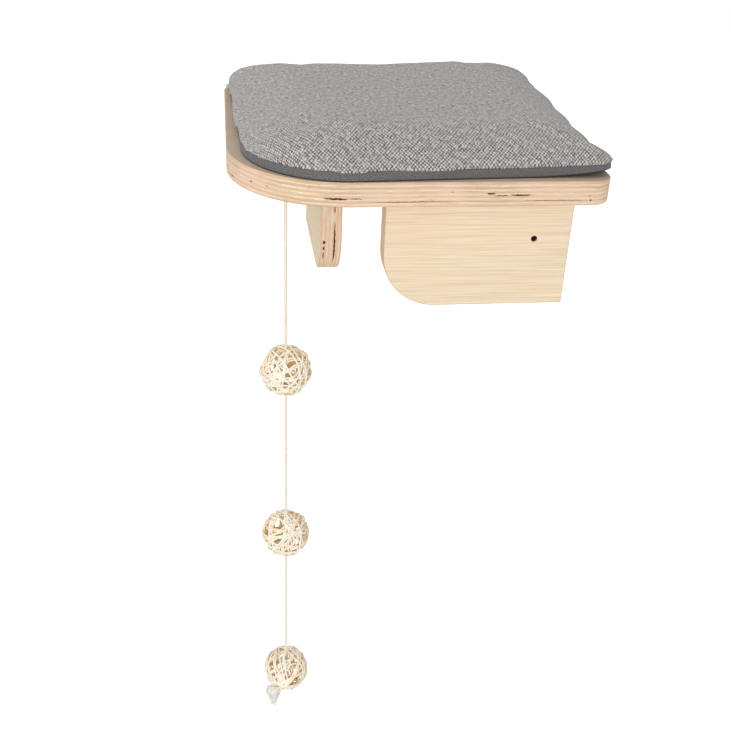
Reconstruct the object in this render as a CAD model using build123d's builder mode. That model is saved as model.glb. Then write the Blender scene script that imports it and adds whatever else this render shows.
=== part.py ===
from build123d import *
import math
import os

# A cat's platform for the inside corner of a room, with a soft cushion on top and a toy string below.
# A square plywood board with one large rounded corner is carried by two plywood brackets, one
# standing square to each wall. Each bracket slides over a peg in its wall and is locked by a screw.
# X runs along the back wall, Y along the side wall and Z up. The walls are the planes X = 0 and
# Y = 0, and Z = 0 is the underside of the board. All sizes are in millimetres.

# Board
board_width = 300.0
board_depth = 300.0
ply_thickness = 19.5
free_corner_radius = 92.0
wall_corner_radius = 18.0
arris = 0.7

# Brackets
bracket_reach = 167.0
bracket_drop = 124.0
bracket_corner_radius = 49.5
bracket_inset = 83.0
bracket_thickness = ply_thickness

# Wall socket: a steel liner in the wall end of each bracket, for a round peg in the wall
peg_bore_radius = 4.1
socket_radius = 6.0
socket_length = 48.0
socket_drop = 61.0
socket_floor_space = 2.0
fit_gap = 0.05

# Lock screw: a short set screw through the outer side of the bracket, against the peg
lock_setback = 33.0
lock_hole_radius = 2.9
lock_screw_radius = 2.5
lock_screw_length = 4.0
lock_key_radius = 1.45
lock_key_depth = 1.8
key_sides = 6

# Board screws: countersunk, two down into each bracket
screw_length = 50.0
screw_shank_radius = 2.25
screw_head_radius = 4.3
screw_head_sink = 0.25
screw_tip_length = 6.0
near_screw_setback = 35.0
far_screw_setback = 130.0
cross_slot_width = 1.1
cross_slot_length = 4.6
cross_slot_depth = 1.6

# Hook and loop pads that hold the cushion
pad_length = 25.0
pad_width = 16.0
pad_thickness = 1.1
pad_gap = 0.1
pad_pocket_gap = 0.6

# Cushion: outline at its seam, then its heights above the board
cushion_left_back_inset = 4.0
cushion_left_front_inset = 12.0
cushion_front_left_inset = 2.0
cushion_front_right_inset = 9.0
cushion_right_inset = 1.0
cushion_back_inset = 5.0
cushion_free_corner_radius = 80.0
cushion_corner_radius = 20.0
cushion_least_radius = 5.0
cushion_draw_in = 2.5
cushion_rest_gap = 0.3
cushion_seam_height = 7.5
cushion_crown_height = 31.5
cushion_crown_reach = 50.0
cushion_foot_inset = 2.5
crown_steps = 4
cushion_fabric = 1.2
cushion_floor = 3.2
filling_gap = 0.3

# Toy string
cord_radius = 1.6
cord_sides = 12
cord_inset = 46.0
cord_hole_radius = 3.0
cord_mouth_chamfer = 1.5
knot_pocket_radius = 8.0
knot_pocket_depth = 9.0
knot_radius = 5.0
knot_height = 7.6
knot_end_length = 0.8
cord_bend_gap = 0.3
mouth_stretch_length = 36.0

# Rattan balls
ball_radius = 23.0
cane_width = 2.4
cane_thickness = 1.5
cane_sides = 12
hoop_count = 9
first_ball_drop = 165.5
ball_spacing = 179.0
ball_count = 3
knot_seat_gap = 0.3
cord_pass_gap = 0.4
layer_step = 1.0
ball_turn_degrees = 55

# Frayed end of the string, which hangs beside the string's line
tail_length = 29.0
tail_lean = 13.5
tail_radius = 8.5
tail_neck_length = 2.0

# Places worked out from the sizes
bracket_face_y = bracket_inset - board_depth
bracket_middle_y = bracket_face_y + bracket_thickness / 2
toy_x = cord_inset - board_width
toy_y = cord_inset - board_depth
corner_diagonal = Plane(origin=(0, 0, 0), z_dir=(1, -1, 0))
screw_places = [(-near_screw_setback, bracket_middle_y), (-far_screw_setback, bracket_middle_y)]
mirror_shift = board_depth - board_width
left_screw_places = [(y + mirror_shift, x) for x, y in screw_places]
pad_places = [
    (-board_width + pad_length / 2 + 3 * arris, -pad_width),
    (-1.4 * pad_length, -1.4 * pad_width),
    (-1.6 * pad_length, cushion_front_right_inset + 1.6 * pad_width - board_depth),
    (toy_x, toy_y + 3.4 * pad_width),
]


def twin_on_left(piece):
    """The matching piece of the left bracket, mirrored across the room corner's diagonal."""
    with BuildPart() as twin:
        with Locations((mirror_shift, 0, 0)):
            add(mirror(piece, about=corner_diagonal, mode=Mode.PRIVATE))
    return twin


def board_screw():
    """One countersunk wood screw, standing in the board with its axis on Z."""
    head_top = ply_thickness - screw_head_sink
    head_height = screw_head_radius - screw_shank_radius
    with BuildPart() as screw:
        with BuildSketch(Plane.XZ):
            with BuildLine():
                Polyline(
                    (0, head_top),
                    (screw_head_radius, head_top),
                    (screw_shank_radius, head_top - head_height),
                    (screw_shank_radius, head_top - screw_length + screw_tip_length),
                    (0, head_top - screw_length),
                    close=True,
                )
            make_face()
        revolve(axis=Axis.Z)
        with BuildSketch(Plane.XY.offset(head_top)):
            Rectangle(cross_slot_length, cross_slot_width)
            Rectangle(cross_slot_width, cross_slot_length)
        extrude(amount=-cross_slot_depth, mode=Mode.SUBTRACT)
    return screw


# The board, rounded at its free corner and a little where its front and left edges meet the walls
with BuildPart() as platform_board:
    with BuildSketch():
        Rectangle(board_width, board_depth, align=(Align.MAX, Align.MAX))
        fillet(vertices().group_by(Axis.X)[0].sort_by(Axis.Y)[0], free_corner_radius)
        fillet(vertices().group_by(Axis.X)[-1].sort_by(Axis.Y)[0], wall_corner_radius)
        fillet(vertices().group_by(Axis.Y)[-1].sort_by(Axis.X)[0], wall_corner_radius)
    extrude(amount=ply_thickness)
    long_edges = edges().group_by(Axis.Z)
    chamfer(long_edges[0] + long_edges[-1], arris)
    with Locations(*[(x, y, ply_thickness) for x, y in screw_places + left_screw_places]):
        CounterSinkHole(
            screw_shank_radius + fit_gap,
            screw_head_radius + screw_head_sink + fit_gap,
            counter_sink_angle=90,
        )
    with Locations((toy_x, toy_y, ply_thickness)):
        CounterBoreHole(cord_hole_radius, knot_pocket_radius, knot_pocket_depth)
    low_rings = edges().filter_by(GeomType.CIRCLE).group_by(Axis.Z)[0]
    cord_mouth = low_rings.filter_by(lambda ring: abs(ring.radius - cord_hole_radius) < fit_gap)
    chamfer(cord_mouth, cord_mouth_chamfer)
platform_board.part.label = "platform_board"

# The bracket on the side wall: a plate with one large rounded corner, bored at its wall end
bracket_side = Plane(origin=(0, bracket_face_y, 0), x_dir=(-1, 0, 0), z_dir=(0, 1, 0))
socket_mouth = Plane(origin=(0, bracket_middle_y, -socket_drop), z_dir=(1, 0, 0))
lock_mouth = Plane(origin=(-lock_setback, bracket_face_y, -socket_drop), z_dir=(0, -1, 0))
with BuildPart() as right_bracket:
    with BuildSketch(bracket_side):
        Rectangle(bracket_reach, bracket_drop, align=(Align.MIN, Align.MAX))
        free_corners = vertices().group_by(Axis.X)[-1]
        fillet(free_corners.sort_by(Axis.Y)[0], bracket_corner_radius)
    extrude(amount=bracket_thickness)
    side_edges = edges().group_by(Axis.Y)
    chamfer(side_edges[0] + side_edges[-1], arris)
    with Locations(socket_mouth):
        Hole(socket_radius + fit_gap, socket_length + socket_floor_space)
    with Locations(lock_mouth):
        Hole(lock_hole_radius, bracket_thickness / 2)
    with Locations(*[(x, y, 0) for x, y in screw_places]):
        Hole(screw_shank_radius + fit_gap, screw_length - ply_thickness + socket_floor_space)
right_bracket.part.label = "right_bracket"

# The steel liner that slides over the wall peg, with a tapped hole in its side
with BuildPart() as right_wall_socket:
    with Locations(socket_mouth):
        Cylinder(socket_radius, socket_length, align=(Align.CENTER, Align.CENTER, Align.MAX))
        Hole(peg_bore_radius, socket_length)
    with Locations(lock_mouth):
        Hole(lock_screw_radius + fit_gap, bracket_thickness / 2)
right_wall_socket.part.label = "right_wall_socket"

# The set screw that locks the bracket on its peg, drawn back clear of the bore
lock_tip_depth = bracket_thickness / 2 - peg_bore_radius - fit_gap
with BuildPart() as right_lock_screw:
    with BuildSketch(lock_mouth.offset(-lock_tip_depth)):
        Circle(lock_screw_radius)
    extrude(amount=lock_screw_length)
    with BuildSketch(lock_mouth.offset(lock_screw_length - lock_tip_depth)):
        RegularPolygon(lock_key_radius, key_sides)
    extrude(amount=-lock_key_depth, mode=Mode.SUBTRACT)
right_lock_screw.part.label = "right_lock_screw"

one_screw = board_screw().part
with BuildPart() as right_board_screws:
    with Locations(*screw_places):
        add(one_screw)
right_board_screws.part.label = "right_board_screws"

left_bracket = twin_on_left(right_bracket.part)
left_bracket.part.label = "left_bracket"
left_wall_socket = twin_on_left(right_wall_socket.part)
left_wall_socket.part.label = "left_wall_socket"
left_lock_screw = twin_on_left(right_lock_screw.part)
left_lock_screw.part.label = "left_lock_screw"
left_board_screws = twin_on_left(right_board_screws.part)
left_board_screws.part.label = "left_board_screws"


def pads(bottom, grow=0.0, height=pad_thickness):
    """The four hook and loop pads, all at one height, or the pockets that they sit in."""
    with BuildPart() as pad_set:
        with BuildSketch(Plane.XY.offset(bottom)):
            with Locations(*pad_places):
                Rectangle(pad_length + 2 * grow, pad_width + 2 * grow)
        extrude(amount=height)
    return pad_set


hook_pads = pads(ply_thickness)
hook_pads.part.label = "hook_pads"
loop_pads = pads(ply_thickness + pad_thickness + pad_gap)
loop_pads.part.label = "loop_pads"


def cushion_outline(inset):
    """The cushion's outline drawn in by an inset: four round corners and four sides that pull in."""
    small = max(cushion_corner_radius - inset, cushion_least_radius)
    large = max(cushion_free_corner_radius - inset, cushion_least_radius)
    left_back = inset + cushion_left_back_inset - board_width
    left_front = inset + cushion_left_front_inset - board_width
    front_left = inset + cushion_front_left_inset - board_depth
    front_right = inset + cushion_front_right_inset - board_depth
    right = -inset - cushion_right_inset
    back = -inset - cushion_back_inset
    corners = (
        (left_back + small, back - small, small, 180, 90),
        (right - small, back - small, small, 90, 0),
        (right - small, front_right + small, small, 0, -90),
        (left_front + large, front_left + large, large, -90, -180),
    )
    inward = ((0, -1), (-1, 0), (0, 1), (1, 0))
    with BuildLine() as outline:
        arcs = []
        for x, y, radius, start, end in corners:
            points = []
            for angle in (start, (start + end) / 2, end):
                turn = math.radians(angle)
                points.append((x + radius * math.cos(turn), y + radius * math.sin(turn)))
            arcs.append(ThreePointArc(*points))
        for side, (toward_x, toward_y) in enumerate(inward):
            first = arcs[side] @ 1
            last = arcs[(side + 1) % len(arcs)] @ 0
            middle = (first + last) / 2 + Vector(toward_x, toward_y) * cushion_draw_in
            ThreePointArc(first, middle, last)
    return outline.line


def cushion_form(levels):
    """A solid through the cushion's outline at each height, with its own inset at each."""
    with BuildPart() as form:
        for height, inset in levels:
            with BuildSketch(Plane.XY.offset(ply_thickness + height)):
                with BuildLine():
                    add(cushion_outline(inset))
                make_face()
        loft(ruled=True)
    return form.part


def crown_levels(shrink):
    """The crown's levels, a quarter of an ellipse in from the seam, under a cover of this thickness."""
    rise = cushion_crown_height - cushion_seam_height - shrink
    levels = []
    for step in range(crown_steps + 1):
        turn = math.pi / 2 * step / crown_steps
        inset = shrink + cushion_crown_reach * (1 - math.cos(turn))
        levels.append((cushion_seam_height + rise * math.sin(turn), inset))
    return levels


def band_levels(bottom, shrink):
    """The levels of the dark band below the seam, which pulls in towards the board."""
    middle = (bottom + cushion_seam_height) / 2
    return [(bottom, shrink + cushion_foot_inset), (middle, shrink), (cushion_seam_height, shrink)]


with BuildPart() as cushion_cover:
    add(cushion_form(crown_levels(0.0)))
    add(cushion_form(crown_levels(cushion_fabric)), mode=Mode.SUBTRACT)
cushion_cover.part.label = "cushion_cover"

with BuildPart() as cushion_base:
    add(cushion_form(band_levels(cushion_rest_gap, 0.0)))
    add(cushion_form(band_levels(cushion_rest_gap + cushion_floor, cushion_fabric)), mode=Mode.SUBTRACT)
    pocket_top = ply_thickness + 2 * pad_thickness + pad_gap + fit_gap
    add(pads(ply_thickness, pad_pocket_gap, pocket_top - ply_thickness).part, mode=Mode.SUBTRACT)
cushion_base.part.label = "cushion_base"

with BuildPart() as cushion_filling:
    add(cushion_form(crown_levels(cushion_fabric + filling_gap)))
    filling_bottom = cushion_rest_gap + cushion_floor + filling_gap
    add(cushion_form(band_levels(filling_bottom, cushion_fabric + filling_gap)))
cushion_filling.part.label = "cushion_filling"


def frustum(wide_radius, narrow_radius, height):
    """A many-sided block that stands on its wide end and narrows towards its top."""
    narrowing = (wide_radius - narrow_radius) * math.cos(math.pi / cord_sides)
    with BuildPart() as block:
        with BuildSketch():
            RegularPolygon(wide_radius, cord_sides)
        extrude(amount=height, taper=math.degrees(math.atan2(narrowing, height)))
    return block.part


def tapered_form(axis_x, levels):
    """A slim solid on an upright axis that tapers between (radius, height) levels, from the bottom up."""
    with BuildPart() as form:
        for (low_radius, low), (high_radius, high) in zip(levels, levels[1:]):
            if high > low:
                wide_end, turn = (high, 180) if high_radius > low_radius else (low, 0)
                block = frustum(*sorted((low_radius, high_radius), reverse=True), high - low)
                with Locations(Location((axis_x, toy_y, wide_end), (turn, 0, 0))):
                    add(block)
    return form


def string_knot(bottom, cord_bottom, cord_top):
    """A knot pulled tight, two wraps high, with the straight cord that runs through it."""
    lobe = knot_height / 4
    shoulder = knot_radius - lobe
    top = bottom + knot_height
    return tapered_form(
        toy_x,
        [
            (cord_radius, cord_bottom),
            (cord_radius, bottom),
            (shoulder, bottom),
            (knot_radius, bottom + lobe),
            (shoulder, bottom + 2 * lobe),
            (knot_radius, bottom + 3 * lobe),
            (shoulder, top),
            (cord_radius, top),
            (cord_radius, cord_top),
        ],
    )


def hanging_stretch(start, end):
    """A straight stretch of cord whose upper end is domed, so that it can swing just below its start."""
    pole = start - cord_bend_gap
    pivot = pole - cord_radius
    slope = cord_radius * math.sqrt(0.5)
    print(f"string pivot at {pivot:.2f}, straight down to {end:.2f}")
    levels = [(cord_radius, end), (cord_radius, pivot), (slope, pivot + slope), (fit_gap, pole)]
    return tapered_form(toy_x, levels)


# The top knot in its pocket, with the cord that runs down through the board
top_knot_bottom = ply_thickness - knot_pocket_depth + fit_gap
top_knot = string_knot(top_knot_bottom, 0, top_knot_bottom + knot_height + knot_end_length)
top_knot.part.label = "top_knot"

cord_mouth_stretch = hanging_stretch(0, -mouth_stretch_length)
cord_mouth_stretch.part.label = "cord_mouth_stretch"

# One rattan cage: hoops of flat cane, turned every way in two layers and fused where they cross.
# Each hoop's normal lies on a spiral over half a sphere, and stays off the level that would bring
# the hoop across a pole, where the cord passes through.
inner_layer_radius = ball_radius - layer_step
lowest_cosine = (cord_radius + cord_pass_gap + cane_width / 2) / (inner_layer_radius - cane_thickness)
golden_turn = math.pi * (3 - math.sqrt(5))
with BuildPart() as rattan_cage:
    for index in range(hoop_count):
        cosine = lowest_cosine + (1 - lowest_cosine) * index / hoop_count
        sine = math.sqrt(1 - cosine**2)
        turn = index * golden_turn
        normal = Vector(sine * math.cos(turn), sine * math.sin(turn), cosine)
        across = Vector(-math.sin(turn), math.cos(turn), 0)
        outside = ball_radius - index % 2 * layer_step
        with BuildSketch(Plane(origin=(0, 0, 0), x_dir=across, z_dir=normal)):
            RegularPolygon(outside, cane_sides)
            RegularPolygon(outside - cane_thickness, cane_sides, mode=Mode.SUBTRACT)
        extrude(amount=cane_width / 2, both=True)

# Each ball is threaded on the string and rests on a knot that is tied inside it, above its lower pole
knot_lobe = knot_height / 4
cage_inside = (inner_layer_radius - cane_thickness) * math.cos(math.pi / cane_sides) - knot_seat_gap
knot_reach = math.sqrt((cage_inside - knot_lobe) ** 2 - (knot_radius - knot_lobe) ** 2) + knot_lobe
balls = []
ball_knots = []
cord_stretches = []
stretch_start = -mouth_stretch_length
for index in range(ball_count):
    centre = -first_ball_drop - index * ball_spacing
    knot_bottom = centre - knot_reach
    knot_end = knot_bottom + knot_height + knot_end_length
    with BuildPart() as ball:
        with Locations(Location((toy_x, toy_y, centre), (0, 0, index * ball_turn_degrees))):
            add(rattan_cage.part)
    ball.part.label = f"rattan_ball_{index + 1}"
    balls.append(ball)
    ball_knot = string_knot(knot_bottom, centre - ball_radius, knot_end)
    ball_knot.part.label = f"ball_knot_{index + 1}"
    ball_knots.append(ball_knot)
    stretch = hanging_stretch(stretch_start, knot_end)
    stretch.part.label = f"cord_stretch_{index + 1}"
    cord_stretches.append(stretch)
    stretch_start = centre - ball_radius

# The frayed end below the last ball: a short bent neck of cord, then the loose fibres, which spread
# at once and draw in towards their ends. Each share pair is of the fibres' length and radius.
tail_shares = ((1.00, 0.16), (0.85, 0.46), (0.55, 0.78), (0.25, 1.00), (0.05, 0.90), (0.00, 0.40))
elbow_z = stretch_start - tail_neck_length
fibre_top = elbow_z - cord_radius
fibre_length = tail_length - tail_neck_length - cord_radius
tuft_x = toy_x - tail_lean
tuft_levels = [(wide * tail_radius, fibre_top - down * fibre_length) for down, wide in tail_shares]
elbow = Vector(toy_x, toy_y, elbow_z)
neck_end = Vector(tuft_x, toy_y, fibre_top - tail_radius / 2)
neck = neck_end - elbow
with BuildPart() as frayed_tail:
    add(tapered_form(tuft_x, tuft_levels).part)
    add(tapered_form(toy_x, [(cord_radius, elbow_z), (cord_radius, stretch_start)]).part)
    with BuildSketch(Plane(origin=elbow, z_dir=neck)):
        RegularPolygon(cord_radius, cord_sides)
    extrude(amount=neck.length)
frayed_tail.part.label = "frayed_tail"

# One file for each named piece
pieces = [
    platform_board,
    right_bracket,
    left_bracket,
    right_wall_socket,
    left_wall_socket,
    right_lock_screw,
    left_lock_screw,
    right_board_screws,
    left_board_screws,
    hook_pads,
    loop_pads,
    cushion_base,
    cushion_filling,
    cushion_cover,
    top_knot,
    cord_mouth_stretch,
    frayed_tail,
]
pieces += cord_stretches + ball_knots + balls
os.makedirs("parts", exist_ok=True)
for piece in pieces:
    export_step(piece.part, f"parts/{piece.part.label}.step")
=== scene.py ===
# %% [markdown]
# This lesson dresses a cat's platform for the inside corner of a room. A plywood board stands on two
# plywood brackets, a soft grey cushion lies on it, and a cotton string with three woven rattan balls
# hangs from its free corner. The wood and the metal come in as a fixed frame, already at their real
# size and place, and only need a finish. The string, the balls and the cushion are modelled here, each
# in the space that the frame holds for it. All lengths are in metres.

# %% Load the frame
import math
import random

import bmesh
import bpy
from mathutils import Matrix, Vector, noise


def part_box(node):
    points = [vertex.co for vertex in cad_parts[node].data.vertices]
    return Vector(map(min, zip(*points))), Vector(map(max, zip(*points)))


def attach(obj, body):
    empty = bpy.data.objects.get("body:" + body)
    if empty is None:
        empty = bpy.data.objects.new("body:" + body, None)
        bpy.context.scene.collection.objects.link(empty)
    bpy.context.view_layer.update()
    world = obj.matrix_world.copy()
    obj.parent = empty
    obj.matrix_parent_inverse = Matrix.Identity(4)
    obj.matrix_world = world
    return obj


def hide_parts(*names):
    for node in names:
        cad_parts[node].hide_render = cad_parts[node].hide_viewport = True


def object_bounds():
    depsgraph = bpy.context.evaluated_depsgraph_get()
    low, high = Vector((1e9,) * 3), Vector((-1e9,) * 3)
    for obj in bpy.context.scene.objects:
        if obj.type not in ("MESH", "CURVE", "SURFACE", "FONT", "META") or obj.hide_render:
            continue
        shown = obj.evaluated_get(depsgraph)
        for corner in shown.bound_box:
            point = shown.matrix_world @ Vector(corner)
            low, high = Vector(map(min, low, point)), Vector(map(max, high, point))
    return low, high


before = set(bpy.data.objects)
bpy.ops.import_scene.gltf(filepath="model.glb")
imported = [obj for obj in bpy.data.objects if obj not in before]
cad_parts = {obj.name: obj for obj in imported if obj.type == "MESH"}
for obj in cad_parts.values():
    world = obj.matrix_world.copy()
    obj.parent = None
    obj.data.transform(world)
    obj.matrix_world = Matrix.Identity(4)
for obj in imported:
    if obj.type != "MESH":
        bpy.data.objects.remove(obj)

mm = 0.001
frame_box = [list(corner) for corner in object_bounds()]
print("frame box", [[round(value, 4) for value in corner] for corner in frame_box])

# %% [markdown]
# The camera comes first, because everything else is judged through it. It stands a metre in front of
# the back wall and about 20 cm above the cushion, looks down by 29 degrees, turns a little to the right
# and leans slightly. An Euler rotation would hide what each angle does, so the angles are turned into
# three axes, right, up and back, which are the columns of the camera's matrix.

# %% Camera
camera_place = Vector((-0.2993, -1.0070, 0.2619))
camera_lens = 48.83
camera_heading = 0.152
camera_dip = 0.509
camera_roll = 0.044


def camera_axes(heading, dip, roll):
    """Right, up and back of a camera with this heading from +Y, dip below the level and roll."""
    level = math.cos(dip)
    ahead = Vector((math.sin(heading) * level, math.cos(heading) * level, -math.sin(dip)))
    level_right = Vector((math.cos(heading), -math.sin(heading), 0))
    level_up = level_right.cross(ahead)
    right = math.cos(roll) * level_right + math.sin(roll) * level_up
    up = math.cos(roll) * level_up - math.sin(roll) * level_right
    return right, up, -ahead


camera = bpy.data.objects.new("camera", bpy.data.cameras.new("camera"))
camera.data.lens = camera_lens
camera_turn = Matrix(camera_axes(camera_heading, camera_dip, camera_roll)).transposed().to_4x4()
camera.matrix_world = Matrix.Translation(camera_place) @ camera_turn
bpy.context.collection.objects.link(camera)
bpy.context.scene.camera = camera
print("camera at", camera_place[:])

# %% [markdown]
# Blender works in linear light, but a painter picks a colour as it looks on a screen. Every colour here
# is written as it looks, from 0 to 255, and turned into linear light when it is used.

# %% Colours
def srgb(red, green, blue):
    """A colour as a painter picks it, from 0 to 255, as the linear colour that Blender works in."""
    linear = []
    for part in (red / 255, green / 255, blue / 255):
        linear.append(((part + 0.055) / 1.055) ** 2.4 if part > 0.04 else part / 12.92)
    return (*linear, 1.0)


print("a painter's middle grey is", round(srgb(128, 128, 128)[0], 3), "in linear light")

# %% [markdown]
# Every finish here is a tree of nodes. Writing a tree by hand takes three lines for each node, so a few
# small helpers make, set and link a node in one call. A value that is a socket is linked, and any other
# value is set on the input itself.

# %% One node in one call
def put(tree, socket, value):
    """Link a socket to an input, or set the input to a plain value."""
    if isinstance(value, bpy.types.NodeSocket):
        tree.links.new(value, socket)
    else:
        socket.default_value = value


def node(tree, kind, inputs=None, output=0, **settings):
    """Make a shader node, set it up and return one of its outputs."""
    made = tree.nodes.new("ShaderNode" + kind)
    for name, value in settings.items():
        setattr(made, name, value)
    for name, value in (inputs or {}).items():
        put(tree, made.inputs[name], value)
    return made.outputs[output]


def maths(tree, operation, *values):
    """A Math node on one, two or three values."""
    return node(tree, "Math", dict(enumerate(values)), operation=operation)


def vector_maths(tree, operation, *values, output=0):
    """A Vector Math node on one or two vectors."""
    return node(tree, "VectorMath", dict(enumerate(values)), output=output, operation=operation)


def scaled(tree, vector, factors):
    """A vector with each of its parts multiplied by its own factor."""
    return vector_maths(tree, "MULTIPLY", vector, factors)


# %% Noise, mixes, fades and ramps
def clouds(tree, vector, scale=1.0, detail=3.0, roughness=0.5):
    """Soft noise from 0 to 1."""
    inputs = {"Vector": vector, "Scale": scale, "Detail": detail, "Roughness": roughness}
    return node(tree, "TexNoise", inputs)


def mix(tree, factor, first, second, blend="MIX"):
    """Mix two colours."""
    inputs = {0: factor, 6: first, 7: second}
    return node(tree, "Mix", inputs, output=2, data_type="RGBA", blend_type=blend)


def fade(tree, value, low, high, to_low=0.0, to_high=1.0):
    """A smooth step from one value to another as the input goes from low to high."""
    inputs = {0: value, 1: low, 2: high, 3: to_low, 4: to_high}
    return node(tree, "MapRange", inputs, interpolation_type="SMOOTHSTEP")


def ramp(tree, factor, stops):
    """A colour ramp with a colour at each position."""
    made = tree.nodes.new("ShaderNodeValToRGB")
    put(tree, made.inputs[0], factor)
    elements = made.color_ramp.elements
    for index, (position, colour) in enumerate(stops):
        element = elements[index] if index < 2 else elements.new(position)
        element.position = position
        element.color = colour
    return made.outputs[0]


def bump(tree, height, distance, strength=1.0):
    """A bump of this height in metres."""
    return node(tree, "Bump", {"Height": height, "Distance": distance, "Strength": strength})


# %% [markdown]
# Every finish starts as a new material with the standard shader. The pieces that come with the frame
# only need such a finish in their slots.

# %% Finishes and dressing
def new_finish(name, roughness=0.6, **constants):
    """A material with an empty tree but for its shader, whose constant inputs are set here."""
    material = bpy.data.materials.new(name)
    material.use_nodes = True
    shader = material.node_tree.nodes["Principled BSDF"]
    shader.inputs["Roughness"].default_value = roughness
    for key, value in constants.items():
        shader.inputs[key.replace("_", " ")].default_value = value
    return material, material.node_tree, shader


def dress(material, *names):
    """Give frame nodes a finish."""
    for name in names:
        slots = bpy.data.objects[name].material_slots
        for slot in slots:
            slot.material = material
        print(name, "is dressed in", material.name)


# %% [markdown]
# The string is a three-strand cotton cord, 3.2 mm thick. It leaves the mouth of a hole in the board,
# hangs straight down under its own weight and that of the balls, and has four free stretches: one
# short one below the board, and one above each ball. A smooth cylinder with a striped bump would look
# flat at its outline, so the strands are real. Each stretch has a route, a smooth line through a few
# points, and the strands wind round the points that are read back from that line. The strands of every
# stretch take their turn from the height, so that they meet where two stretches meet.

# %% Cord routes
cord_radius = 1.6 * mm
strand_count = 3
strand_share = 0.54
cord_lay = 9.0 * mm
points_per_lay = 14


def route_points(name, points, spacing):
    """The points along a smooth line that is drawn through a route's control points."""
    curve = bpy.data.curves.new(name, "CURVE")
    curve.dimensions = "3D"
    spline = curve.splines.new("NURBS")
    spline.points.add(len(points) - 1)
    for point, place in zip(spline.points, points):
        point.co = (*place, 1.0)
    spline.order_u = 3
    spline.use_endpoint_u = True
    length = sum((b - a).length for a, b in zip(points, points[1:]))
    curve.resolution_u = max(2, round(length / spacing / (len(points) - 1)))
    guide = bpy.data.objects.new(name, curve)
    line = bpy.data.meshes.new_from_object(guide)
    found = [vertex.co.copy() for vertex in line.vertices]
    bpy.data.meshes.remove(line)
    bpy.data.objects.remove(guide)
    bpy.data.curves.remove(curve)
    return found


def tubes(name, paths, radius, sides=8, ends=True):
    """One mesh of round tubes, each along its own path of points, with its closed ends."""
    curve = bpy.data.curves.new(name, "CURVE")
    curve.dimensions = "3D"
    curve.bevel_depth = radius
    curve.bevel_resolution = max(0, sides // 2 - 2)
    curve.use_fill_caps = ends
    for path in paths:
        spline = curve.splines.new("POLY")
        spline.points.add(len(path) - 1)
        for point, place in zip(spline.points, path):
            point.co = (*place, 1.0)
    holder = bpy.data.objects.new(name, curve)
    mesh = bpy.data.meshes.new_from_object(holder)
    bpy.data.objects.remove(holder)
    bpy.data.curves.remove(curve)
    mesh.name = name
    return mesh


# %% Strands
def strand_paths(path, radius, lay, start_turn=0.0):
    """The middle lines of a cord's strands, wound round its own path."""
    offset = radius * (1 - strand_share)
    side = Vector((1, 0, 0))
    travelled = 0.0
    strands = [[] for _ in range(strand_count)]
    for index, place in enumerate(path):
        ahead = (path[min(index + 1, len(path) - 1)] - path[max(index - 1, 0)]).normalized()
        side = (side - side.dot(ahead) * ahead).normalized()
        other = ahead.cross(side)
        if index:
            travelled += (place - path[index - 1]).length
        for number, strand in enumerate(strands):
            turn = start_turn + 2 * math.pi * (travelled / lay + number / strand_count)
            strand.append(place + offset * (math.cos(turn) * side + math.sin(turn) * other))
    return strands


def show(name, mesh, material, body, smooth=True):
    """Put a finished mesh in the scene as a piece that rides on a body."""
    piece = bpy.data.objects.new(name, mesh)
    bpy.context.collection.objects.link(piece)
    piece.data.materials.clear()
    piece.data.materials.append(material)
    for face in piece.data.polygons:
        face.use_smooth = smooth
    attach(piece, body)
    return piece


print("each strand is", round(2 * cord_radius * strand_share / mm, 2), "mm thick")

# %% [markdown]
# Cotton cord is nearly white, a little yellow, and quite matt. Each strand is spun from fine yarns, so
# the finish has short fibres that run along the cord and a soft sheen. The frayed end is the same yarn
# opened out: it catches more light and looks greyer.

# %% Cotton finish
fibre_draw = 5
cotton_patches = 90.0
cotton_depth = 0.12 * mm


def cotton(name, light, dark, fibre_scale, sheen):
    """Spun cotton with short fibres along the string."""
    material, tree, shader = new_finish(name, roughness=0.9, Sheen_Weight=sheen, Specular_IOR_Level=0.2)
    place = node(tree, "TexCoord", output=3)
    drawn = scaled(tree, place, (fibre_scale, fibre_scale, fibre_scale / fibre_draw))
    fibres = clouds(tree, drawn, 1.0, 4.0, 0.7)
    patches = clouds(tree, place, cotton_patches, 2.0)
    shade = maths(tree, "ADD", maths(tree, "MULTIPLY", fibres, 0.6), maths(tree, "MULTIPLY", patches, 0.4))
    put(tree, shader.inputs["Base Color"], ramp(tree, shade, [(0.3, dark), (0.62, light)]))
    put(tree, shader.inputs["Normal"], bump(tree, fibres, cotton_depth, 0.6))
    return material


cord_finish = cotton("cotton_cord", srgb(249, 243, 230), srgb(232, 220, 199), 2600.0, 0.35)
fray_finish = cotton("frayed_cotton", srgb(255, 255, 252), srgb(253, 251, 242), 3200.0, 0.6)
print("made", cord_finish.name, "and", fray_finish.name)

# %% [markdown]
# A knot in the board stops the string, and one in each ball holds that ball at its height. A real
# stopper knot crosses over itself many times, but pulled tight it reads as a short coil, so it is the
# cord itself with another length of cord wound round it. The two ends of the coil tuck in.

# %% Knots
string_x, string_y = (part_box("cord_stretch_1")[0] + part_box("cord_stretch_1")[1]).xy / 2
knot_height = 7.6 * mm
knot_below_top = 0.8 * mm
knot_turns = 2.3
knot_steps = 60
tucked_share = 0.14
tuck_depth = 0.55


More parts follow.
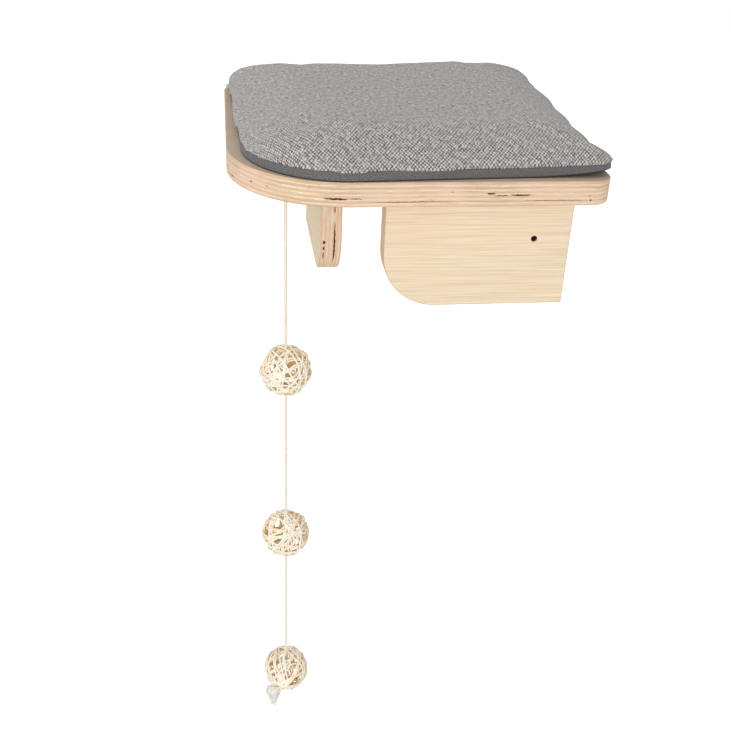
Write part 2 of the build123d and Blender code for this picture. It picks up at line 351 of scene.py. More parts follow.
def knotted(name, body, replaced):
    """A knot pulled tight: the cord runs through it and is wound a little over twice round itself."""
    low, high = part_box(replaced)
    wrap_radius = (high.x - low.x) / 2 - cord_radius
    wrap_high = high.z - knot_below_top - cord_radius
    wrap_low = high.z - knot_below_top - knot_height + cord_radius
    wrap = []
    for step in range(knot_steps + 1):
        share = step / knot_steps
        turn = 2 * math.pi * knot_turns * share
        tuck = 1.0 - tuck_depth * max(0.0, abs(2 * share - 1) - 1 + tucked_share) / tucked_share
        x = string_x + tuck * wrap_radius * math.cos(turn)
        y = string_y + tuck * wrap_radius * math.sin(turn)
        wrap.append(Vector((x, y, wrap_high + (wrap_low - wrap_high) * share)))
    core_points = [Vector((string_x, string_y, z)) for z in (high.z, (low.z + high.z) / 2, low.z)]
    core = route_points(name, core_points, cord_lay / points_per_lay)
    paths = strand_paths(core, cord_radius, cord_lay, 2 * math.pi * -high.z / cord_lay)
    paths += strand_paths(wrap, cord_radius, cord_lay)
    knot = show(name, tubes(name, paths, cord_radius * strand_share), cord_finish, body)
    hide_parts(replaced)
    print(name, "is wound", round(2 * (wrap_radius + cord_radius) / mm, 1), "mm wide")
    return knot


knotted("knot_in_board", "root", "top_knot")
string_bodies = ("upper_string", "middle_string", "lower_string")
for index, body in enumerate(string_bodies):
    knotted(f"knot_in_ball_{index + 1}", body, f"ball_knot_{index + 1}")

# %% [markdown]
# Now the four free stretches, each with its real length and thickness. Each starts a hair higher
# than the place where it bends, inside the stretch above or the board's mouth, which closes the joint.

# %% Free stretches
stretch_overlap = 0.3 * mm


def hang_stretch(number, body, replaced):
    """One free stretch of the string, from its upper end to its lower end."""
    low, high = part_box(replaced)
    top = high.z + stretch_overlap
    points = [Vector((string_x, string_y, z)) for z in (top, (top + low.z) / 2, low.z)]
    path = route_points(f"route_{number}", points, cord_lay / points_per_lay)
    start_turn = 2 * math.pi * -top / cord_lay
    strands = strand_paths(path, cord_radius, cord_lay, start_turn)
    mesh = tubes(f"string_{number}", strands, cord_radius * strand_share)
    stretch = show(f"string_{number}", mesh, cord_finish, body)
    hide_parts(replaced)
    print("string", number, "hangs", round((top - low.z) / mm, 1), "mm from", round(top / mm, 1))


# %% [markdown]
# The end of the string is frayed: below the last knot the cord comes out between the canes, bends
# aside and opens into a tuft of loose yarns, widest near its top and drawn together at its tip. Hair
# particles could make it, but they are no mesh and would be lost in an export, so each yarn is a thin
# tube with four sides. The yarns are spread over the tuft by the golden turn, as a sunflower's seeds.

# %% Frayed end
tuft_seed = 7
yarn_count = 170
yarn_radius = 0.42 * mm
yarn_flutter = 0.35 * mm
yarn_spread = (0.86, 1.0)
tip_spread = (0.2, 0.42)
elbow_drop = 1.6 * mm
gather_aside = 3.0 * mm
gather_drop = 4.2 * mm
shoulder_drop = 5.5 * mm
belly_drop = 12.0 * mm
belly_share = 0.98
tip_aside = 0.6 * mm
tip_flutter = 0.6
cord_step = 0.6 * mm
yarn_step = 2.2 * mm
golden_turn = math.pi * (3 - math.sqrt(5))


def frayed_end(name, body):
    """The tuft, as many thin yarns that leave the cord's end and draw in to a soft tip."""
    random.seed(tuft_seed)
    low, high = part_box("frayed_tail")
    tuft_radius = (high.y - low.y) / 2
    tuft_x = low.x + tuft_radius
    neck = Vector((string_x, string_y, high.z))
    elbow = neck - Vector((0, 0, elbow_drop))
    gather = Vector((tuft_x + gather_aside, string_y, high.z - gather_drop))
    bent = route_points(name, [neck, elbow, gather], cord_step)
    paths = strand_paths(bent, cord_radius, cord_lay)
    count = len(paths)
    for number in range(yarn_count):
        turn = number * golden_turn
        reach = tuft_radius * math.sqrt((number + 0.5) / yarn_count) * random.uniform(*yarn_spread)
        tip_drop = (high.z - low.z) * random.uniform(*yarn_spread)
        aim = Vector((math.cos(turn), math.sin(turn), 0)) * reach
        shoulder = Vector((tuft_x, string_y, high.z - shoulder_drop)) + aim
        belly = Vector((tuft_x, string_y, high.z - belly_drop)) + aim * belly_share
        tip = Vector((tuft_x + tip_aside, string_y, high.z - tip_drop)) + aim * random.uniform(*tip_spread)
        line = [gather]
        for place, share in ((shoulder, 1.0), (belly, 1.0), (tip, tip_flutter)):
            flutter = Vector([random.uniform(-yarn_flutter, yarn_flutter) for _ in range(3)])
            line.append(place + flutter * share)
        paths.append(route_points(name, line, yarn_step))
    thick = tubes(name, paths[:count], cord_radius * strand_share)
    thin = tubes(name + "_yarns", paths[count:], yarn_radius, sides=4)
    joined = bmesh.new()
    joined.from_mesh(thick)
    joined.from_mesh(thin)
    joined.to_mesh(thick)
    joined.free()
    bpy.data.meshes.remove(thin)
    tail = show(name, thick, fray_finish, body)
    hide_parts("frayed_tail")
    print(name, "has", yarn_count, "yarns")
    return tail


tail = frayed_end("frayed_end", "lower_string")
hang_stretch(0, "swing_link", "cord_mouth_stretch")
for index, body in enumerate(string_bodies):
    hang_stretch(index + 1, body, f"cord_stretch_{index + 1}")

# %% [markdown]
# A rattan ball is wound from long thin canes. Each cane goes round the ball many times, a few turns
# side by side and then on in a new direction, so the ball is a tangle of hoops in small bundles, over
# and under each other. One hoop is a small flat section that is spun round a full circle, and then
# pushed a little in and out and sideways along its way, because no real cane is a true circle. Its
# place along and round the cane is kept as a UV map, so that the grain can follow it later.

# %% One hoop of cane
cane_half_width = 0.88 * mm
cane_half_thickness = 0.70 * mm
hoop_steps = 72
section_sides = 8
beat_range = (2, 6)
second_wave = 0.6
in_and_out_range = (0.4, 1.0)
sideways_range = (0.5, 1.6)


def cane_hoop(radius, side_shift, tangle):
    """One closed hoop of cane round Z, with its grain's coordinates, as a bmesh."""
    hoop = bmesh.new()
    grain = hoop.loops.layers.uv.new("grain")
    ring = bmesh.ops.create_circle(hoop, cap_ends=False, radius=1.0, segments=section_sides)
    bmesh.ops.scale(hoop, vec=(cane_half_thickness, cane_half_width, 1.0), verts=ring["verts"])
    bmesh.ops.rotate(hoop, matrix=Matrix.Rotation(math.pi / 2, 3, "X"), verts=ring["verts"])
    bmesh.ops.translate(hoop, vec=(radius, 0, 0), verts=ring["verts"])
    bmesh.ops.spin(
        hoop,
        geom=hoop.verts[:] + hoop.edges[:],
        cent=(0, 0, 0),
        axis=(0, 0, 1),
        dvec=(0, 0, 0),
        angle=2 * math.pi,
        steps=hoop_steps,
        use_merge=True,
        use_duplicate=False,
    )
    bmesh.ops.recalc_face_normals(hoop, faces=hoop.faces)
    for face in hoop.faces:
        middle = face.calc_center_median()
        turn = math.atan2(middle.y, middle.x)
        for loop in face.loops:
            spot = loop.vert.co
            lag = (math.atan2(spot.y, spot.x) - turn + math.pi) % (2 * math.pi) - math.pi
            around = math.atan2(spot.z, spot.xy.length - radius)
            loop[grain].uv = ((turn + lag) * radius, around * cane_half_width)
    beats = [tangle.randint(*beat_range) for _ in range(3)]
    phases = [tangle.uniform(0, 2 * math.pi) for _ in range(3)]
    in_and_out = tangle.uniform(*in_and_out_range) * mm
    sideways = tangle.uniform(*sideways_range) * mm
    for vert in hoop.verts:
        turn = math.atan2(vert.co.y, vert.co.x)
        wave = math.sin(beats[0] * turn + phases[0])
        wave += second_wave * math.sin(beats[1] * turn + phases[1])
        drift = math.sin(beats[2] * turn + phases[2])
        vert.co.xy *= 1 + in_and_out * wave / radius / (1 + second_wave)
        vert.co.z += side_shift + sideways * drift
    return hoop


# %% [markdown]
# The hoops of a ball come in bundles of two or three, and each bundle has its own direction and lies in
# one of four layers. Spreading the directions by the golden turn covers the ball evenly, and a little
# scatter takes the order out again. Every ball has its own seed, so no two are alike.

# %% Rattan ball
ball_seed = 40
bundle_count = 14
hoops_in_bundle = (2, 3, 2)
bundle_spread = 2.6 * mm
bundle_scatter = 0.35
hoop_scatter = 0.5
lean_scatter = 0.2
layer_count = 4
layer_gap = 0.85 * mm
ball_swell = 0.6 * mm
rim_gap = 0.5 * mm


def rattan_ball(number):
    """A whole ball: bundles of hoops in every direction, on the body that spins on the string."""
    replaced = f"rattan_ball_{number}"
    low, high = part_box(replaced)
    centre = (low + high) / 2
    ball_radius = (high.z - low.z) / 2 + ball_swell
    tangle = random.Random(ball_seed + number)
    ball = bmesh.new()
    hoops = 0
    for bundle in range(bundle_count):
        height = 1 - (bundle + 0.5) / bundle_count
        turn = bundle * golden_turn + tangle.uniform(-bundle_scatter, bundle_scatter)
        width = math.sqrt(1 - height**2)
        normal = Vector((width * math.cos(turn), width * math.sin(turn), height))
        count = hoops_in_bundle[bundle % len(hoops_in_bundle)]
        layer = bundle % layer_count * layer_gap
        for place in range(count):
            shift = place - (count - 1) / 2 + tangle.uniform(-hoop_scatter, hoop_scatter)
            shift *= bundle_spread
            outside = ball_radius - cane_half_thickness - layer - rim_gap
            hoop = cane_hoop(math.sqrt(outside**2 - shift**2), shift, tangle)
            lean = Vector([tangle.uniform(-lean_scatter, lean_scatter) for _ in range(3)])
            turned = (normal + lean).to_track_quat("Z", "Y").to_matrix()
            bmesh.ops.transform(hoop, matrix=turned.to_4x4(), verts=hoop.verts)
            bmesh.ops.translate(hoop, vec=centre, verts=hoop.verts)
            mesh = bpy.data.meshes.new("hoop")
            hoop.to_mesh(mesh)
            hoop.free()
            ball.from_mesh(mesh)
            bpy.data.meshes.remove(mesh)
            hoops += 1
    name = f"woven_ball_{number}"
    mesh = bpy.data.meshes.new(name)
    ball.to_mesh(mesh)
    ball.free()
    piece = show(name, mesh, rattan_finish(number, centre, ball_radius), f"ball_{number}")
    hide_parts(replaced)
    print(name, "has", hoops, "hoops and", len(mesh.polygons), "faces")


# %% [markdown]
# Peeled rattan is pale cream with fine streaks along the cane, and it darkens to tan where it was
# split. The canes that lie deeper in the ball are painted browner, as painted shade for the light that
# the canes around them hold off. That painted shade comes from each point's distance from the ball's
# middle.

# %% Rattan finish
full_shade_depth = 4.2 * mm
no_shade_depth = 1.6 * mm
streak_stretch = (120.0, 2600.0, 1.0)
stain_scale = 70.0
cane_depth = 0.10 * mm


def rattan_finish(number, centre, ball_radius):
    """Pale cane, streaked along its length, with painted shade that browns it towards the ball's middle."""
    material, tree, shader = new_finish(f"rattan_{number}", roughness=0.5, Specular_IOR_Level=0.35)
    grain = node(tree, "UVMap", uv_map="grain")
    place = node(tree, "TexCoord", output=3)
    streaks = clouds(tree, scaled(tree, grain, streak_stretch), 1.0, 4.0, 0.6)
    stains = clouds(tree, place, stain_scale, 2.0)
    tone = maths(tree, "ADD", maths(tree, "MULTIPLY", streaks, 0.55), maths(tree, "MULTIPLY", stains, 0.45))
    cane_tones = [(0.30, srgb(252, 224, 186)), (0.42, srgb(255, 244, 220)), (0.60, srgb(255, 250, 236))]
    outside = ramp(tree, tone, cane_tones)
    # Painted shade: canes deep in the ball are multiplied towards tan, for the shade of the canes around
    # them.
    from_middle = vector_maths(tree, "DISTANCE", place, tuple(centre), output=1)
    depth = fade(tree, from_middle, ball_radius - full_shade_depth, ball_radius - no_shade_depth, 1.0, 0.0)
    inside = mix(tree, 1.0, outside, srgb(255, 230, 190), "MULTIPLY")
    put(tree, shader.inputs["Base Color"], mix(tree, depth, outside, inside))
    put(tree, shader.inputs["Normal"], bump(tree, streaks, cane_depth, 0.5))
    return material


for number in (1, 2, 3):
    rattan_ball(number)

# %% [markdown]
# Plywood shows two quite different surfaces. Its faces are one thin sheet of pale wood with grain along
# one direction. Its edges show all the sheets, one light and one darker in turn, with glue lines
# between them, small dark gaps where a sheet had a knot or a split, and pale filler in some of those. A
# picture of plywood could be laid on, but it would have to be cut to every edge. Noise in the solid
# wood fits any cut. So the wood is told which two axes its sheets lie along and which one goes through
# them, and all positions in it are in millimetres, which suit the numbers.

# %% Directions and noise in the wood
def reordered(tree, vector, order):
    """A vector with its parts in another order, such as XZY."""
    parts = tree.nodes.new("ShaderNodeSeparateXYZ")
    put(tree, parts.inputs[0], vector)
    picked = {index: parts.outputs["XYZ".index(letter)] for index, letter in enumerate(order)}
    return node(tree, "CombineXYZ", picked)


def part_of(tree, vector, index):
    """One of the three parts of a vector."""
    return node(tree, "SeparateXYZ", {0: vector}, output=index)


def wander(tree, seeded, scale, height):
    """Soft noise about zero, this high in millimetres."""
    return maths(tree, "MULTIPLY", maths(tree, "SUBTRACT", clouds(tree, seeded, scale, 2.0), 0.5), height)


def grey(value):
    """A plain grey for a ramp that is used as a number."""
    return (value, value, value, 1.0)


# %% [markdown]
# The sheets' ends come first. How far a point lies through the board, divided by the thickness of one
# light and one darker sheet, gives the sheet's number and the place within the pair, and a slow and a
# quick wander keep the lines from being ruled. Each pair draws its own tone. A thin broken glue line
# runs between the two sheets, and the lowest millimetre is painted darker, as painted shade along the
# bottom arris.

# %% Plywood: the cut edge
ply_pair = 3.55
slow_wander = (0.022, 1.5)
quick_wander = (0.35, 0.35)
strata_draw = (0.05, 0.05, 1.9)
fibre_end_scale = 1.5
light_patch_scale = 0.03
glue_patch_scale = 0.06
blond_patch_scale = 0.018
blond_share = 0.4


def edge_wood(tree, seeded, through, within, sheet):
    """The colour of the sheets' cut edges, and the height of the fine lines in them."""
    sheet_tones = [
        (0.00, grey(0.45)),
        (0.08, grey(0.0)),
        (0.46, grey(0.25)),
        (0.60, grey(1.0)),
        (0.88, grey(0.9)),
        (1.00, grey(0.45)),
    ]
    light_sheet = ramp(tree, within, sheet_tones)
    own_place = node(tree, "CombineXYZ", {2: sheet})
    drawn = vector_maths(tree, "ADD", scaled(tree, seeded, strata_draw), own_place)
    strata = clouds(tree, drawn, 1.0, 4.0, 0.65)
    fibre_ends = clouds(tree, seeded, fibre_end_scale, 3.0, 0.7)
    chance = node(tree, "TexWhiteNoise", {"W": sheet}, noise_dimensions="1D")
    dark_wood = mix(tree, chance, srgb(216, 184, 144), srgb(232, 197, 167))
    patches = clouds(tree, seeded, light_patch_scale, 2.0)
    light_wood = mix(tree, patches, srgb(255, 234, 204), srgb(255, 242, 220))
    wood = mix(tree, light_sheet, dark_wood, light_wood)
    glue = maths(tree, "MULTIPLY", fade(tree, within, 0.55, 0.60), fade(tree, within, 0.61, 0.66, 0.6, 0.0))
    glue = maths(tree, "MULTIPLY", glue, fade(tree, clouds(tree, seeded, glue_patch_scale, 2.0), 0.35, 0.6))
    # Painted shade: the lowest millimetre through the piece is darkened like the glue, as shade along the
    # bottom arris.
    glue = maths(tree, "MAXIMUM", glue, fade(tree, through, 0.1, 0.9, 0.5, 0.0))
    wood = mix(tree, glue, wood, srgb(178, 136, 100))
    wood = mix(tree, fade(tree, strata, 0.42, 0.68, 0.0, 0.85), wood, srgb(208, 168, 128))
    wood = mix(tree, fade(tree, fibre_ends, 0.42, 0.75, 0.0, 0.6), wood, srgb(198, 160, 120))
    blond = fade(tree, clouds(tree, seeded, blond_patch_scale, 3.0), 0.42, 0.62)
    wood = mix(tree, blond_share, wood, mix(tree, blond, wood, srgb(250, 214, 188)))
    return wood, strata


# %% [markdown]
# The face is peeled from the log in one long sheet, so its grain is drawn far out along one axis: a
# broad grain, fine darker lines and a faint blush. The same noise, scaled unevenly, makes all three.

# %% Plywood: the face
grain_draw = (0.007, 0.6, 0.3)
grain_more = (0.004, 0.0, 0.0)
line_draw = (0.016, 2.3, 0.3)
blush_draw = (0.006, 0.03, 0.01)


def face_wood(tree, seeded):
    """The colour of the outer sheets with their long grain, and the height of its lines."""
    drawn = vector_maths(tree, "ADD", scaled(tree, seeded, grain_draw), scaled(tree, seeded, grain_more))
    grain = clouds(tree, drawn, 1.0, 6.0, 0.62)
    lines = clouds(tree, scaled(tree, seeded, line_draw), 1.0, 3.0, 0.6)
    blush = clouds(tree, scaled(tree, seeded, blush_draw), 1.0, 2.0)
    grain_tones = [(0.32, srgb(236, 208, 174)), (0.50, srgb(247, 228, 198)), (0.68, srgb(253, 240, 216))]
    wood = ramp(tree, grain, grain_tones)
    wood = mix(tree, fade(tree, lines, 0.50, 0.74, 0.0, 0.75), wood, srgb(228, 196, 156))
    wood = mix(tree, fade(tree, blush, 0.4, 0.75, 0.0, 0.4), wood, srgb(246, 218, 194))
    return wood, lines


# %% [markdown]
# Knot holes and splits show as short dark gaps in an edge. The large ones stand where this board has
# them, each as an ellipsoid with its middle, its half sizes and its strength. The place is made to
# tremble first, which frays their outlines. Small splits come at random, in the darker sheets only.

# %% Plywood: gaps, filler and splits
split_draw = (0.04, 0.04, 0.0)
split_step = 5.3


def spots(tree, place, ellipsoids):
    """How much of any of these placed ellipsoids covers a point, from 0 to 1."""
    cover = 0.0
    for middle, half, strength in ellipsoids:
        away = scaled(tree, vector_maths(tree, "SUBTRACT", place, middle), [1 / size for size in half])
        near = vector_maths(tree, "LENGTH", away, output=1)
        cover = maths(tree, "MAXIMUM", cover, fade(tree, near, 0.6, 1.15, strength, 0.0))
    return cover


def splits(tree, seeded, within, sheet):
    """Short random splits in the darker sheets, from 0 to 1."""
    own_place = node(tree, "CombineXYZ", {2: maths(tree, "MULTIPLY", sheet, split_step)})
    drawn = vector_maths(tree, "ADD", scaled(tree, seeded, split_draw), own_place)
    split = fade(tree, clouds(tree, drawn, 1.0, 3.0, 0.6), 0.66, 0.73, 0.0, 0.7)
    begins = fade(tree, within, 0.12, 0.24)
    ends = fade(tree, within, 0.36, 0.5, 1.0, 0.0)
    return maths(tree, "MULTIPLY", split, maths(tree, "MULTIPLY", begins, ends))


# %% [markdown]
# Now the whole finish. The direction of the surface tells a face from an edge, with a soft change
# between them where the edge is rounded off. A face that looks up is painted greyer, as painted shade,
# since it gets less light than the faces that look forward. Filler is laid over the edge's colour, and the
# gaps come last, brown at their rim and painted darker inside, as painted shade in the hole. The
# relief is small: fine lines everywhere, strata on the edges, and the gaps sunk in.

# %% Plywood finish
to_mm = (1000.0, 1000.0, 1000.0)
second_seed = 0.7
tremble_scale = 0.5
tremble_size = (1.6, 1.6, 1.6)
wood_depth = 0.15 * mm


def plywood(name, order, low, gaps, fillers, seed):
    """Plywood whose sheets lie along the first two axes of order and are stacked along the third."""
    material, tree, shader = new_finish(name, roughness=0.62, Specular_IOR_Level=0.3)
    place = reordered(tree, scaled(tree, node(tree, "TexCoord", output=3), to_mm), order)
    normal = node(tree, "TexCoord", output=1)
    facing = maths(tree, "ABSOLUTE", part_of(tree, reordered(tree, normal, order), 2))
    on_edge = fade(tree, facing, 0.80, 0.92, 1.0, 0.0)
    seeded = vector_maths(tree, "ADD", place, (seed, seed * second_seed, 0.0))

    through = maths(tree, "SUBTRACT", part_of(tree, place, 2), low)
    wave = maths(tree, "ADD", wander(tree, seeded, *slow_wander), wander(tree, seeded, *quick_wander))
    level = maths(tree, "DIVIDE", maths(tree, "ADD", through, wave), ply_pair)
    within = maths(tree, "FRACT", level)
    sheet = maths(tree, "FLOOR", level)
    edge, strata = edge_wood(tree, seeded, through, within, sheet)
    face, lines = face_wood(tree, seeded)
    # Painted shade: faces that look up are multiplied greyer, for the light they lack.
    painted_top_shade = fade(tree, part_of(tree, normal, 2), 0.3, 0.9)
    face = mix(tree, painted_top_shade, face, mix(tree, 1.0, face, srgb(202, 200, 203), "MULTIPLY"))

    tremble = node(tree, "TexNoise", {"Vector": seeded, "Scale": tremble_scale, "Detail": 3.0}, output=1)
    tremble = scaled(tree, vector_maths(tree, "SUBTRACT", tremble, (0.5, 0.5, 0.5)), tremble_size)
    trembling = vector_maths(tree, "ADD", place, tremble)
    edge = mix(tree, spots(tree, trembling, fillers), edge, srgb(232, 222, 214))
    gap = maths(tree, "MAXIMUM", spots(tree, trembling, gaps), splits(tree, seeded, within, sheet))
    gap = maths(tree, "MULTIPLY", gap, on_edge)
    # Painted shade: the gaps are brown at their rim and painted dark inside, as the shade in the hole.
    hollow = ramp(tree, gap, [(0.25, srgb(176, 122, 72)), (0.8, srgb(66, 40, 24))])
    wood = mix(tree, on_edge, face, edge)
    put(tree, shader.inputs["Base Color"], mix(tree, fade(tree, gap, 0.0, 0.5), wood, hollow))

    relief = maths(tree, "ADD", maths(tree, "MULTIPLY", lines, 0.4), maths(tree, "MULTIPLY", gap, -3.0))
    raised = maths(tree, "MULTIPLY", maths(tree, "MULTIPLY", strata, on_edge), 0.8)
    put(tree, shader.inputs["Normal"], bump(tree, maths(tree, "ADD", relief, raised), wood_depth, 0.6))
    return material


# %% [markdown]
# The board's sheets lie along X and Y, the right bracket's along X and Z and the left one's along Y and
# Z, so each piece names its axes in its own order. The gaps and the filler are given in millimetres, in
# the same order. Each piece has its own seed, because no two boards have the same grain.

# %% Dress the wood
board_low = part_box("platform_board")[0]
board_gaps = [
    ((-19.6, -300.0, 4.6), (0.9, 20.0, 0.8), 1.0),
    ((-219.0, -300.0, 6.7), (9.5, 20.0, 0.8), 1.0),
    ((-204.0, -300.0, 6.9), (6.0, 20.0, 0.5), 0.5),
    ((-99.5, -300.0, 10.3), (3.4, 20.0, 0.8), 1.0),
    ((-91.0, -300.0, 8.7), (6.0, 20.0, 0.45), 0.8),
    ((-76.0, -300.0, 9.0), (9.0, 20.0, 0.6), 0.9),
    ((-160.0, -300.0, 4.2), (40.0, 20.0, 0.35), 0.55),
    ((-48.0, -300.0, 4.5), (28.0, 20.0, 0.3), 0.5),
    ((-281.0, -262.0, 8.9), (1.2, 3.0, 0.9), 1.0),
    ((-277.0, -266.0, 8.0), (0.9, 2.0, 0.7), 1.0),
    ((-268.5, -275.0, 9.4), (2.2, 2.0, 0.8), 0.9),
    ((-298.0, -222.0, 8.5), (3.0, 1.6, 0.8), 0.8),
]
board_finish = plywood("plywood_board", "XYZ", board_low.z / mm, board_gaps, [], 0.0)
dress(board_finish, "platform_board")
right_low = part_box("right_bracket")[0]
right_gaps = [((-167.0, -30.0, right_low.y / mm + 7.0), (6.0, 9.0, 0.7), 0.8)]
dress(plywood("plywood_right", "XZY", right_low.y / mm, right_gaps, [], 37.0), "right_bracket")
left_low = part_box("left_bracket")[0]
left_gaps = [
    ((-167.0, -82.5, -213.8), (30.0, 2.2, 1.1), 1.0),
    ((-167.0, -89.0, -213.9), (30.0, 2.6, 1.0), 1.0),
    ((-167.0, -97.5, -213.9), (30.0, 5.0, 0.7), 0.7),
    ((-167.0, -86.0, -204.2), (30.0, 24.0, 0.85), 1.0),
    ((-167.0, -50.0, -204.4), (30.0, 4.5, 0.6), 0.8),
]
left_fillers = [
    ((-167.0, -48.0, -214.0), (30.0, 12.0, 1.8), 0.9),
    ((-167.0, -58.0, -206.5), (30.0, 6.0, 2.2), 0.8),
]
dress(plywood("plywood_left", "YZX", left_low.x / mm, left_gaps, left_fillers, 91.0), "left_bracket")

# %% [markdown]
# The metal is plain: turned steel liners in the brackets' wall ends, zinc-plated board screws and a
# blackened set screw that shows as a dark dot with a lighter fleck. All three share one idea, a grey
# metal with faint turning marks, and differ in colour and polish.

# %% Metal finishes
turning_marks = (900.0, 900.0, 5200.0)
smudge_scale = 160.0
more_polish = 0.08
less_polish = 0.1
mark_depth = 0.02 * mm


def metal(name, colour, worn, roughness):
    """Grey metal with fine scratches and slightly uneven polish."""
    material, tree, shader = new_finish(name, roughness=roughness, Metallic=1.0)
    place = node(tree, "TexCoord", output=3)
    marks = clouds(tree, scaled(tree, place, turning_marks), 1.0, 3.0, 0.6)
    smudges = clouds(tree, place, smudge_scale, 3.0)
    polish = fade(tree, marks, 0.3, 0.7, roughness - more_polish, roughness + less_polish)
    put(tree, shader.inputs["Base Color"], mix(tree, fade(tree, smudges, 0.35, 0.7), colour, worn))
    put(tree, shader.inputs["Roughness"], polish)
    put(tree, shader.inputs["Normal"], bump(tree, marks, mark_depth, 0.5))
    return material


liner_steel = metal("liner_steel", srgb(186, 186, 184), srgb(158, 157, 154), 0.32)
plated_steel = metal("plated_steel", srgb(206, 203, 192), srgb(176, 172, 160), 0.28)
black_steel = metal("black_steel", srgb(70, 62, 60), srgb(48, 42, 41), 0.42)
dress(liner_steel, "right_wall_socket", "left_wall_socket")
dress(plated_steel, "right_board_screws", "left_board_screws")
dress(black_steel, "right_lock_screw", "left_lock_screw")

# %% [markdown]
# Four pairs of pads hold the cushion on the board. The hook side is a clear-white tape with a field of
# tiny hooks, and the loop side is a white tape with a fuzzy pile. At this size the hooks and loops are
# texture: cells in rows for one, and the same cells out of order for the other.

# %% Pad finishes
pile_depth = 0.3 * mm


def tape(name, light, dark, rows, pile):
    """White fastening tape with rows of hooks, or with a pile of loops."""
    material, tree, shader = new_finish(name, roughness=0.75, Sheen_Weight=0.3)
    place = node(tree, "TexCoord", output=3)
    cells = {"Vector": scaled(tree, place, (rows, rows, 0.0)), "Scale": 1.0, "Randomness": pile}
    dots = node(tree, "TexVoronoi", cells)
    tufts = fade(tree, dots, 0.15, 0.6, 1.0, 0.0)
    put(tree, shader.inputs["Base Color"], mix(tree, tufts, dark, light))
    put(tree, shader.inputs["Normal"], bump(tree, tufts, pile_depth, 0.8))
    return material


dress(tape("hook_tape", srgb(236, 232, 222), srgb(206, 200, 188), 900.0, 0.15), "hook_pads")
dress(tape("loop_tape", srgb(240, 238, 232), srgb(212, 208, 200), 1300.0, 1.0), "loop_pads")

# %% [markdown]
# The cushion has a dark flat base with a low upright band, and a lighter cover that is filled from
# inside. Both follow one outline: four round corners, one of them large like the board's, and four
# sides that pull in a little between them. The outline is worked out once, as a ring of points at any
# distance inside the seam, and both pieces are built from it.

# %% Cushion outline
cover_low, cover_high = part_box("cushion_cover")
base_low, base_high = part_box("cushion_base")
seam_z = base_high.z
free_corner_radius = 80 * mm
corner_radius = 20 * mm
least_radius = 5 * mm
left_drawn = 8 * mm
front_drawn = 7 * mm
draw_in = 2.5 * mm
points_per_corner = 16
points_per_side = 44


def on_corner(x, y, radius, turn):
    """The point at a turn of a round corner."""
    return Vector((x + radius * math.cos(turn), y + radius * math.sin(turn)))


def cushion_ring(inset):
    """The cushion's outline, drawn in by an inset, as points in order round it."""
    small = max(corner_radius - inset, least_radius)
    large = max(free_corner_radius - inset, least_radius)
    left_back = cover_low.x + inset
    left_front = cover_low.x + left_drawn + inset
    front_left = cover_low.y + inset
    front_right = cover_low.y + front_drawn + inset
    right = cover_high.x - inset
    back = cover_high.y - inset
    corners = (
        (left_back + small, back - small, small, math.pi),
        (right - small, back - small, small, math.pi / 2),
        (right - small, front_right + small, small, 0.0),
        (left_front + large, front_left + large, large, -math.pi / 2),
    )
    inward = ((0, -1), (-1, 0), (0, 1), (1, 0))
    ring = []
    for side, (x, y, radius, start) in enumerate(corners):
        for step in range(points_per_corner):
            ring.append(on_corner(x, y, radius, start - math.pi / 2 * step / (points_per_corner - 1)))
        first = ring[-1]
        last = on_corner(*corners[(side + 1) % len(corners)])
        for step in range(1, points_per_side):
            share = step / points_per_side
            pulled = Vector(inward[side]) * draw_in * 4 * share * (1 - share)
            ring.append(first.lerp(last, share) + pulled)
    return ring


print("cushion outline has", len(cushion_ring(0)), "points")

# %% [markdown]
# A form through several rings is a circle with as many points as the outline, laid on the first ring
# and extruded from ring to ring. Each new point has to land on the same point of the outline as the one
# below it, but an extrusion gives no order, so the order is read back along the new edges.

# %% Rings into a form
def ring_stack(levels):
    """A closed form through the outline's rings, each with its height and inset, as a bmesh."""
    stack = bmesh.new()
    along = stack.verts.layers.float.new("along")
    first = cushion_ring(levels[0][1])
    made = bmesh.ops.create_circle(stack, cap_ends=True, radius=1.0, segments=len(first))
    ring = made["verts"]
    for index, (vert, spot) in enumerate(zip(ring, first)):
        vert.co = (*spot, levels[0][0])
        vert[along] = index
    edges = stack.edges[:]
    for height, inset in levels[1:]:
        grown = bmesh.ops.extrude_edge_only(stack, edges=edges)["geom"]
        fresh = [item for item in grown if isinstance(item, bmesh.types.BMVert)]
        edges = [item for item in grown if isinstance(item, bmesh.types.BMEdge)]
        pairs = {vert: None for vert in fresh}
        for edge in stack.edges:
            a, b = edge.verts
            if a in pairs and b not in pairs:
                pairs[a] = b
            elif b in pairs and a not in pairs:
                pairs[b] = a
        order = {vert: index for index, vert in enumerate(ring)}
        ring = sorted(fresh, key=lambda vert: order[pairs[vert]])
        for index, (vert, spot) in enumerate(zip(ring, cushion_ring(inset))):
            vert.co = (*spot, height)
            vert[along] = index
    bmesh.ops.contextual_create(stack, geom=edges)
    bmesh.ops.recalc_face_normals(stack, faces=stack.faces)
    return stack


# %% [markdown]
# A filled cover bellies out past its base: most along the right side, with a slow ripple where the seam
# pulls, and a little on the left and in front. Sculpting by hand can't be repeated, so each belly is a
# bell curve along its side that fades out towards the cushion's middle.

# %% Bellied sides
left_bulge = (-135 * mm, 95 * mm, 5.5 * mm)
right_bulge = (-82 * mm, 135 * mm, 9.6 * mm)
front_bulge = (-150 * mm, 100 * mm, 3.6 * mm)
rim_fade = 7
ripple_height = 1.2 * mm
ripple_length = 62 * mm
ripple_start = -34 * mm


def bulge(place, middle, width, height):
    """A soft bulge of this height and width, felt at a place along a side."""
    return height * math.exp(-(((place - middle) / width) ** 2))


